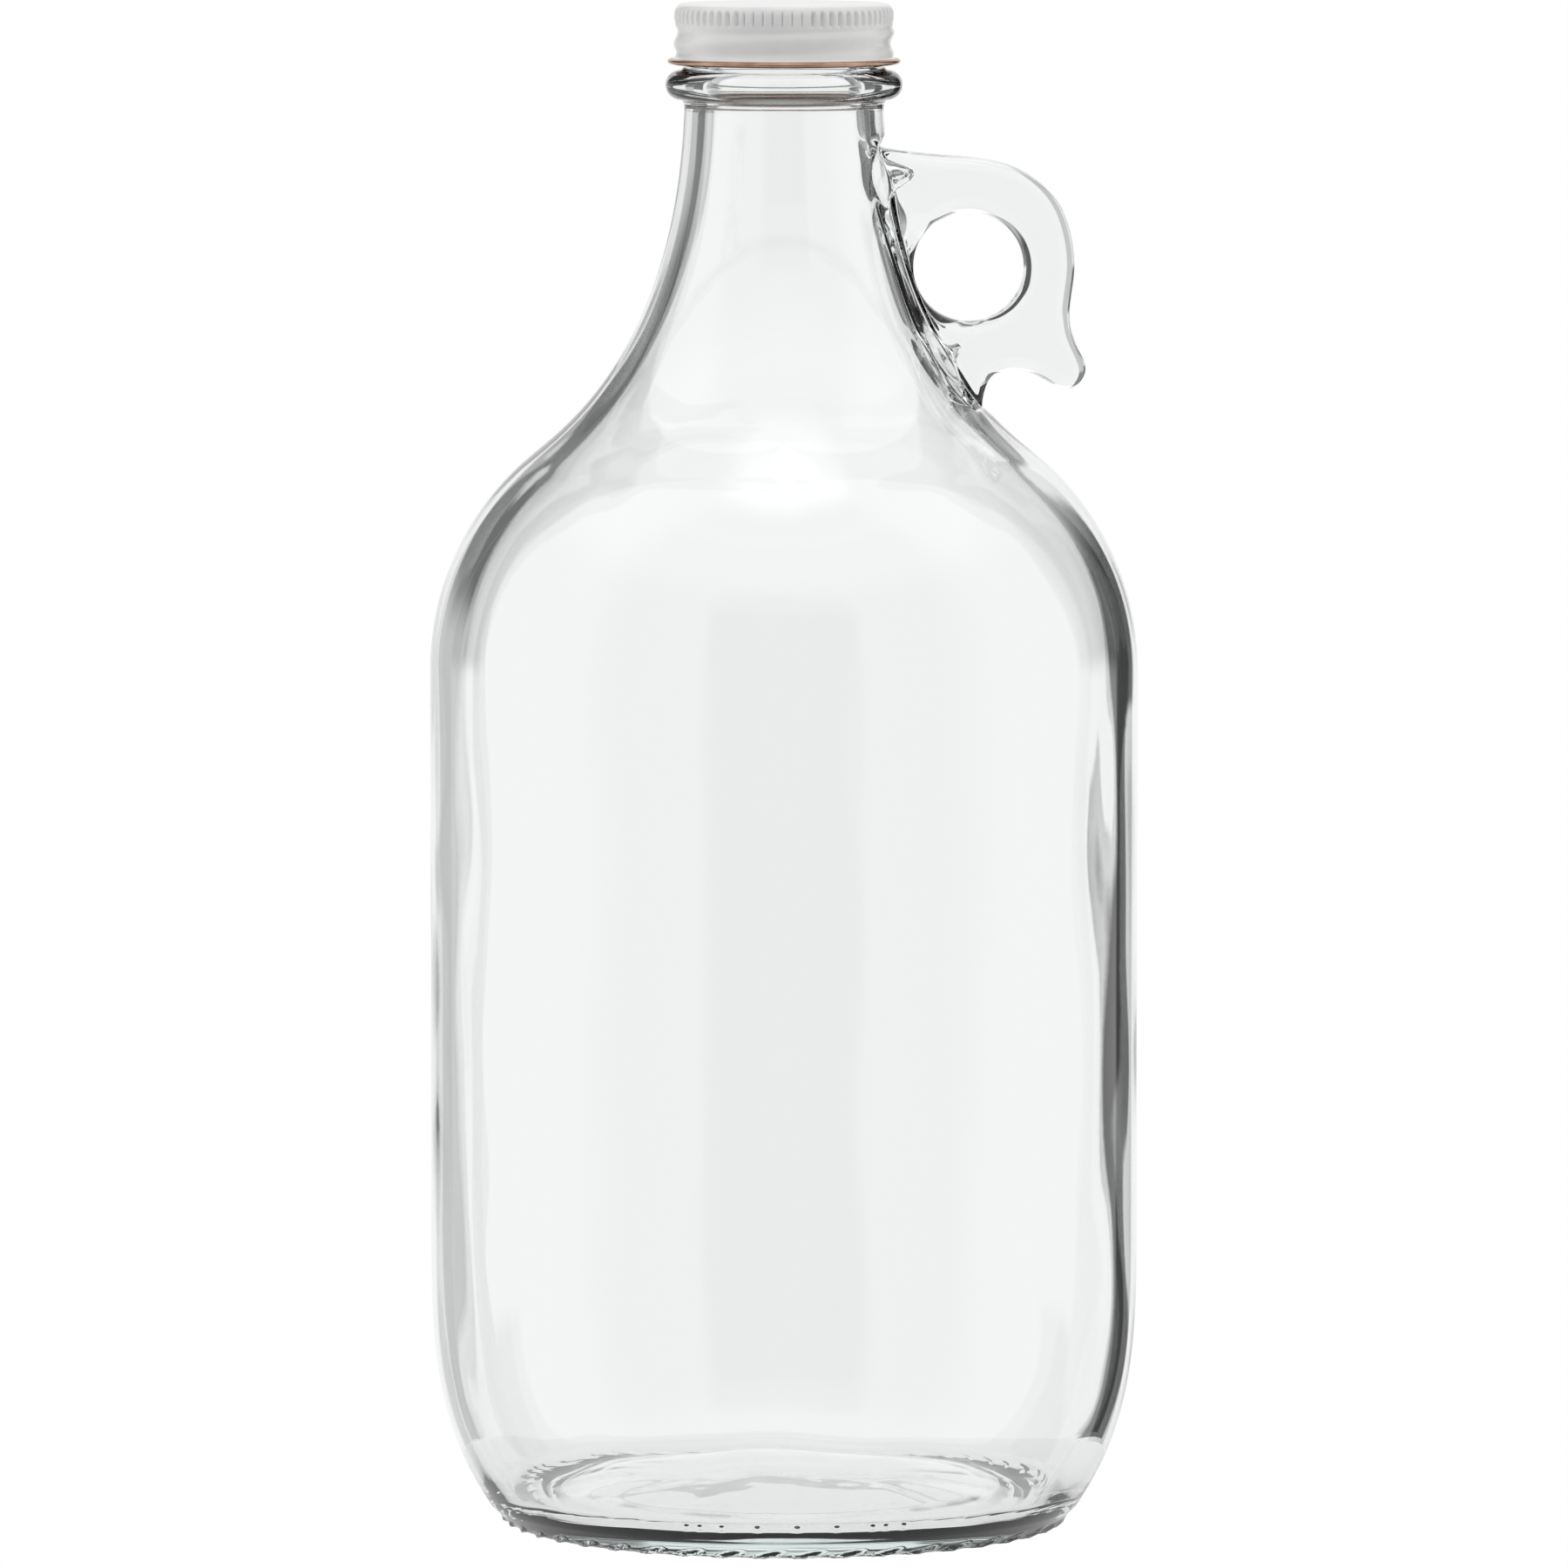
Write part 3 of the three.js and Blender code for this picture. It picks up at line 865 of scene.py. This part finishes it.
def material(name, settings):
    """A new material; gives its node tree and the inputs of its Principled shader too."""
    made = bpy.data.materials.new(name)
    made.use_nodes = True
    inputs = made.node_tree.nodes["Principled BSDF"].inputs
    for key, value in settings.items():
        inputs[key].default_value = value
    return made, made.node_tree, inputs


def lumps(tree, size_mm, detail, stretch=(1, 1, 1)):
    """A pattern of lumps about size_mm across, fixed to the piece."""
    where = add_node(tree, "ShaderNodeTexCoord", {}).outputs["Object"]
    scaled = add_node(tree, "ShaderNodeMapping", {"Scale": stretch, "Vector": where})
    return add_node(tree, "ShaderNodeTexNoise", {
        "Scale": 1 / (size_mm * METRES_PER_MM), "Detail": detail,
        "Vector": scaled.outputs["Vector"]}).outputs["Fac"]


# %% [markdown]
# ### Flint glass
# Clear soda-lime glass, IOR 1.52, as blown in an iron mould. The eye sees almost nothing of the
# glass itself: only the faint green-grey where it looks through a lot of it, at the base and the
# bead, and a very slight chill ripple on its skin. The green-grey is an absorption in the volume,
# so it deepens by itself where the glass is thick.

# %% Flint glass
flint, tree, inputs = material("flint_glass", {
    "Base Color": colour("#ffffff"), "Roughness": 0.0, "IOR": 1.52, "Transmission Weight": 1.0})
add_node(tree, "ShaderNodeBump", {
    "Strength": 0.5, "Distance": 0.05 * METRES_PER_MM,
    "Height": lumps(tree, 14, 1.5, (1, 1, 0.6))}, inputs["Normal"])
add_node(tree, "ShaderNodeVolumeAbsorption", {"Color": colour("#dfefed"), "Density": 9.0},
         tree.nodes["Material Output"].inputs["Volume"])
jug_piece.data.materials.append(flint)

# %% [markdown]
# ### Enamelled tinplate
# White coating, roller-printed and baked before the cap is stamped. It has a fine orange peel,
# and its white drifts a little from place to place, because the coat isn't equally thick.

# %% White enamel
enamel, tree, inputs = material("baked_white_enamel", {"Roughness": 0.22, "IOR": 1.5})
tones = add_node(tree, "ShaderNodeValToRGB", {"Fac": lumps(tree, 9, 3)}, inputs["Base Color"])
for stop, place, tone in zip(tones.color_ramp.elements, (0.3, 0.7), ("#ecedec", "#f7f7f5")):
    stop.position, stop.color = place, colour(tone)
add_node(tree, "ShaderNodeBump", {
    "Strength": 0.5, "Distance": 0.01 * METRES_PER_MM, "Height": lumps(tree, 0.5, 3)},
    inputs["Normal"])
cap_piece.data.materials.append(enamel)

# %% [markdown]
# ### Gold lacquer
# The inside of the sheet has a clear phenolic lacquer that bakes to a coppery gold over the tin.
# The curl turns that side outwards, which is why the cap has a copper-coloured edge.

# %% Gold lacquer
lacquer, tree, inputs = material("gold_lacquered_tin", {"Metallic": 1.0, "Roughness": 0.22})
tones = add_node(tree, "ShaderNodeValToRGB", {"Fac": lumps(tree, 4, 3)}, inputs["Base Color"])
for stop, place, tone in zip(tones.color_ramp.elements, (0.3, 0.7), ("#a5806c", "#c9a68f")):
    stop.position, stop.color = place, colour(tone)
add_node(tree, "ShaderNodeBump", {
    "Strength": 0.5, "Distance": 0.01 * METRES_PER_MM, "Height": lumps(tree, 0.8, 3)},
    inputs["Normal"])
cap_piece.data.materials.append(lacquer)

# %% [markdown]
# ### Liner
# The board is pressed from wood pulp and shows short tan fibres at its edge. The film is thin
# white polyethylene, slightly cloudy, with a satin surface.

# %% Liner materials
pulp, tree, inputs = material("pulp_board", {"Roughness": 0.9})
fibres = lumps(tree, 0.35, 6, (1, 1, 3))
tones = add_node(tree, "ShaderNodeValToRGB", {"Fac": fibres}, inputs["Base Color"])
for stop, tone in zip(tones.color_ramp.elements, ("#a98f68", "#d9c6a0")):
    stop.color = colour(tone)
add_node(tree, "ShaderNodeBump", {
    "Strength": 1.0, "Distance": 0.05 * METRES_PER_MM, "Height": fibres}, inputs["Normal"])
board_piece.data.materials.append(pulp)

film, tree, inputs = material("liner_film", {"Roughness": 0.42, "IOR": 1.5})
cloud = lumps(tree, 3, 4)
tones = add_node(tree, "ShaderNodeValToRGB", {"Fac": cloud}, inputs["Base Color"])
for stop, tone in zip(tones.color_ramp.elements, ("#e4e3df", "#f4f3f0")):
    stop.color = colour(tone)
add_node(tree, "ShaderNodeBump", {
    "Strength": 1.0, "Distance": 0.02 * METRES_PER_MM, "Height": cloud}, inputs["Normal"])
film_piece.data.materials.append(film)
print("materials:", [m.name for m in (flint, enamel, lacquer, pulp, film)])

# %% [markdown]
# ## Camera
#
# A long lens from two and a half metres, a little above the jug and looking slightly down, with the
# finger ring on the right.

# %% Camera
camera_data = bpy.data.cameras.new("camera")
camera_data.sensor_width = 36
camera_data.lens = 318.4
camera_data.clip_end = 100
camera = bpy.data.objects.new("camera", camera_data)
camera.location = (0, -2.44, 0.353)
aim = Vector((0, 0, 0.131))
camera.rotation_euler = (aim - camera.location).to_track_quat("-Z", "Y").to_euler()
scene = bpy.context.scene
scene.collection.objects.link(camera)
scene.camera = camera
print(f"camera {(aim - camera.location).length:.2f} m from the jug")

# %% [markdown]
# ## Light
#
# Clear glass is lit by what stands round it. The world is a white studio seen by direction: a
# bright backdrop, a darker front with a softbox overhead, and upright dark flags on either side.
# The flags are what the edges of the walls bend into view, and draw the dark lines that give the
# glass its form. A wall bends the view by 20 to 40 degrees in the body and up to 54 in the neck,
# so that is where the flags stand.
#
# Each flag is a product of smooth steps. A step goes from a low to a high value while a direction
# goes from one angle to another: azimuth is the angle to the right of straight behind the jug,
# aside is the same without its sign, and elevation is the angle above the floor.

# %% The studio's directions
scene.view_settings.view_transform = "Standard"
world = bpy.data.worlds.new("studio")
world.use_nodes = True
scene.world = world
tree = world.node_tree
towards = add_node(tree, "ShaderNodeTexCoord", {}).outputs["Generated"]
axes = add_node(tree, "ShaderNodeSeparateXYZ", {"Vector": towards}).outputs
azimuth = add_node(tree, "ShaderNodeMath", {
    "operation": "ARCTAN2", 0: axes["X"], 1: axes["Y"]}).outputs["Value"]
aside = add_node(tree, "ShaderNodeMath", {"operation": "ABSOLUTE", 0: azimuth}).outputs["Value"]
elevation = add_node(tree, "ShaderNodeMath", {
    "operation": "ARCSINE", 0: axes["Z"]}).outputs["Value"]

# %% The studio's flags and softboxes
BACKDROP = 0.93
# each step: direction, its angles in degrees, and the values at them
FLAGS = {
    "front of the room": ((aside, 95, 125, 0, 0.3),),
    "sides, for the neck": (
        (aside, 39.5, 42.5, 0, 1), (aside, 60.5, 63.5, 1, 0), (elevation, -4.6, 0, 0, 0.85)),
    "left": ((azimuth, -42.5, -39.5, 0, 1), (azimuth, -22.5, -19.5, 1, 0),
             (elevation, 0, 8, 0.4, 0.82)),
    "right": ((azimuth, 20.5, 23.5, 0, 1), (azimuth, 39.5, 42.5, 1, 0),
              (elevation, 8, 20, 0.94, 0.49)),
    "behind the camera": (
        (aside, 152, 156, 0, 1), (elevation, -27, -23, 0, 1), (elevation, 28, 32, 0.45, 0)),
}
SOFTBOXES = {
    "ceiling": ((elevation, 30, 50, 0, 0.35),),
    "overhead": ((elevation, 72, 84, 0, 1.1),),
}


def product(steps):
    """The product of some smooth steps."""
    so_far = 1.0
    for reading, start, end, low, high in steps:
        step = add_node(tree, "ShaderNodeMapRange", {
            "interpolation_type": "SMOOTHSTEP", "Value": reading, "From Min": math.radians(start),
            "From Max": math.radians(end), "To Min": low, "To Max": high})
        so_far = add_node(tree, "ShaderNodeMath", {
            "operation": "MULTIPLY", 0: so_far, 1: step.outputs["Result"]}).outputs["Value"]
    return so_far


level = BACKDROP
for steps in FLAGS.values():
    passed = add_node(tree, "ShaderNodeMath", {"operation": "SUBTRACT", 0: 1.0, 1: product(steps)})
    level = add_node(tree, "ShaderNodeMath", {
        "operation": "MULTIPLY", 0: level, 1: passed.outputs["Value"]}).outputs["Value"]
for steps in SOFTBOXES.values():
    level = add_node(tree, "ShaderNodeMath", {
        "operation": "ADD", 0: level, 1: product(steps)}).outputs["Value"]
print("studio of", len(FLAGS), "flags and", len(SOFTBOXES), "softboxes")

# %% [markdown]
# The flags would show beside the jug too. What the camera sees directly is plain white instead,
# and only the glass and the cap see the flags. The floor is a disc of paper that glows about as
# much as the backdrop, so that its edge doesn't show through the glass.

# %% The backdrop and the floor
background = tree.nodes["Background"].inputs
background["Color"].default_value = colour("#ffffff")
seen = add_node(tree, "ShaderNodeLightPath", {}).outputs["Is Camera Ray"]
add_node(tree, "ShaderNodeMapRange", {"Value": seen, "To Min": level, "To Max": 1.0},
         background["Strength"])

FLOOR_RADIUS = 85
GLOW, SEEN_GLOW = 0.68, 0.35
floor_mesh = bmesh.new()
bmesh.ops.create_circle(floor_mesh, cap_ends=True, segments=96, radius=FLOOR_RADIUS)
floor = new_object("floor", floor_mesh)
paper, tree, inputs = material("floor_paper", {
    "Base Color": colour("#7c7c7c"), "Roughness": 0.9, "Emission Color": colour("#ffffff")})
seen = add_node(tree, "ShaderNodeLightPath", {}).outputs["Is Camera Ray"]
add_node(tree, "ShaderNodeMath", {
    "operation": "MULTIPLY_ADD", 0: seen, 1: SEEN_GLOW, 2: GLOW}, inputs["Emission Strength"])
floor.data.materials.append(paper)

# %% [markdown]
# ## Joining the frame
#
# Each piece rides the body that carries it and takes the place of its CAD node.

# %% Pieces and bodies
for piece, body, node, slot in (
        (jug_piece, "jug", "glass_jug", "flint_glass"),
        (film_piece, "liner", "liner_facing", "liner_film"),
        (board_piece, "liner", "liner_board", "pulp_board"),
        (cap_piece, "cap", "cap_shell", "enamelled_tinplate")):
    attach(piece, body)
    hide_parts(node)
    print(piece.name, len(piece.data.polygons), "faces on", body)
